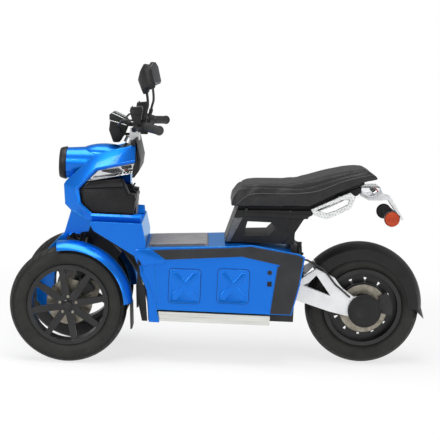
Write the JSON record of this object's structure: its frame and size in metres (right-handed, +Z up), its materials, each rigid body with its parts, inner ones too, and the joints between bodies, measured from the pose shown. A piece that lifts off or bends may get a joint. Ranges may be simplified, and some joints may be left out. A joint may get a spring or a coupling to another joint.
{
  "type": "three-wheeled electric motor scooter",
  "caption": "Blue electric scooter with two steered front wheels, a hub-motor rear wheel, flat floor and a long black seat.",
  "frame": {"origin": "centre of the bounding box, on the ground", "axes": "+X forward, +Y to the rider's left, +Z up"},
  "size_m": [1.6919, 0.7038, 1.2009],
  "materials": {
    "blue_paint": "gloss",
    "black_plastic": "satin",
    "black_metal": "satin",
    "alloy": "satin",
    "steel": "brushed",
    "rubber": "matt",
    "hose_rubber": "matt",
    "seat_vinyl": "grained",
    "clear": "clear",
    "orange_lens": "gloss",
    "mat": "matt"
  },
  "bodies": {
    "chassis": {"chassis_frame": "black_metal", "battery_box": "black_plastic", "headlight_nacelle": "blue_paint", "headlight_bezel": "black_plastic", "headlight_lens": "clear", "dash_cowl": "black_plastic", "cheek_fairings": "blue_paint", "side_lamps": "clear", "storage_boxes": "black_plastic", "front_apron": "blue_paint", "leg_shield": "blue_paint", "wheel_arch_liners": "black_plastic", "floor_deck": "blue_paint", "side_panels": "blue_paint", "side_trims": "black_plastic", "sills": "alloy", "seat_pylon": "black_plastic", "grab_handles": "alloy", "tail_lamp": "clear", "plate_bracket": "alloy", "rear_indicators": "black_plastic", "indicator_lenses": "orange_lens", "front_suspension": "black_metal", "swingarm": "alloy", "axle_covers": "black_plastic", "rear_mudguard": "black_plastic", "rear_caliper": "black_metal", "rear_hoses": "hose_rubber", "rear_shock": "black_metal"},
    "handlebar": {"steering_stem": "black_metal", "top_yoke": "alloy", "handlebar": "black_metal", "grips": "hose_rubber", "switchgear": "black_plastic", "mirrors": "black_plastic", "instrument_cluster": "black_plastic", "bar_hoses": "hose_rubber"},
    "left_steering_knuckle": {"left_knuckle": "black_metal", "left_fender": "blue_paint", "left_mud_flap": "hose_rubber"},
    "right_steering_knuckle": {"right_knuckle": "black_metal", "right_fender": "blue_paint", "right_mud_flap": "hose_rubber"},
    "left_front_wheel": {"left_front_tyre": "rubber", "left_front_rim": "black_metal", "left_front_disc": "steel"},
    "right_front_wheel": {"right_front_tyre": "rubber", "right_front_rim": "black_metal", "right_front_disc": "steel"},
    "rear_wheel": {"rear_tyre": "rubber", "rear_rim": "black_metal", "rear_disc": "steel"},
    "left_tie_rod": {"left_tie_rod": "black_metal"},
    "right_tie_rod": {"right_tie_rod": "black_metal"},
    "seat": {"seat_base": "black_plastic", "seat_cushion": "seat_vinyl"},
    "battery_lid": {"battery_lid": "mat"},
    "left_box_lid": {"left_box_lid": "black_plastic"},
    "right_box_lid": {"right_box_lid": "black_plastic"}
  },
  "joints": [
    {"name": "steering", "type": "hinge", "parent": "chassis", "child": "handlebar", "pos_m": [0.49538, 0, 0.66], "axis": [-0.3907, 0, 0.9205], "range_deg": [-25, 25]},
    {"name": "left_knuckle_steer", "type": "hinge", "parent": "chassis", "child": "left_steering_knuckle", "pos_m": [0.54663, 0.11, 0.388], "axis": [-0.3907, 0, 0.9205], "range_deg": [-25, 25]},
    {"name": "right_knuckle_steer", "type": "hinge", "parent": "chassis", "child": "right_steering_knuckle", "pos_m": [0.54663, -0.11, 0.388], "axis": [-0.3907, 0, 0.9205], "range_deg": [-25, 25]},
    {"name": "left_tie_rod_pivot", "type": "hinge", "parent": "handlebar", "child": "left_tie_rod", "pos_m": [0.6251, 0.014, 0.46958], "axis": [-0.3907, 0, 0.9205], "range_deg": [-25, 25]},
    {"name": "right_tie_rod_pivot", "type": "hinge", "parent": "handlebar", "child": "right_tie_rod", "pos_m": [0.6251, -0.014, 0.46958], "axis": [-0.3907, 0, 0.9205], "range_deg": [-25, 25]},
    {"name": "left_front_wheel_spin", "type": "hinge", "parent": "left_steering_knuckle", "child": "left_front_wheel", "pos_m": [0.612, 0.2, 0.234], "axis": [0, 1, 0], "continuous": true},
    {"name": "right_front_wheel_spin", "type": "hinge", "parent": "right_steering_knuckle", "child": "right_front_wheel", "pos_m": [0.612, -0.2, 0.234], "axis": [0, 1, 0], "continuous": true},
    {"name": "rear_wheel_spin", "type": "hinge", "parent": "chassis", "child": "rear_wheel", "pos_m": [-0.583, 0, 0.236], "axis": [0, 1, 0], "continuous": true},
    {"name": "seat_hinge", "type": "hinge", "parent": "chassis", "child": "seat", "pos_m": [-0.03, 0, 0.634], "axis": [0, 1, 0], "range_deg": [0, 75]},
    {"name": "battery_lid_hinge", "type": "hinge", "parent": "chassis", "child": "battery_lid", "pos_m": [0.066, 0, 0.48488], "axis": [0, -1, 0], "range_deg": [0, 75]},
    {"name": "left_box_lid_hinge", "type": "hinge", "parent": "chassis", "child": "left_box_lid", "pos_m": [0.372, 0.118, 0.596], "axis": [0, -1, 0], "range_deg": [0, 70]},
    {"name": "right_box_lid_hinge", "type": "hinge", "parent": "chassis", "child": "right_box_lid", "pos_m": [0.372, -0.118, 0.596], "axis": [0, -1, 0], "range_deg": [0, 70]}
  ],
  "couplings": [
    {"joint": "left_knuckle_steer", "follows": "steering", "ratio": 1},
    {"joint": "right_knuckle_steer", "follows": "steering", "ratio": 1},
    {"joint": "left_tie_rod_pivot", "follows": "steering", "ratio": -1},
    {"joint": "right_tie_rod_pivot", "follows": "steering", "ratio": -1}
  ]
}
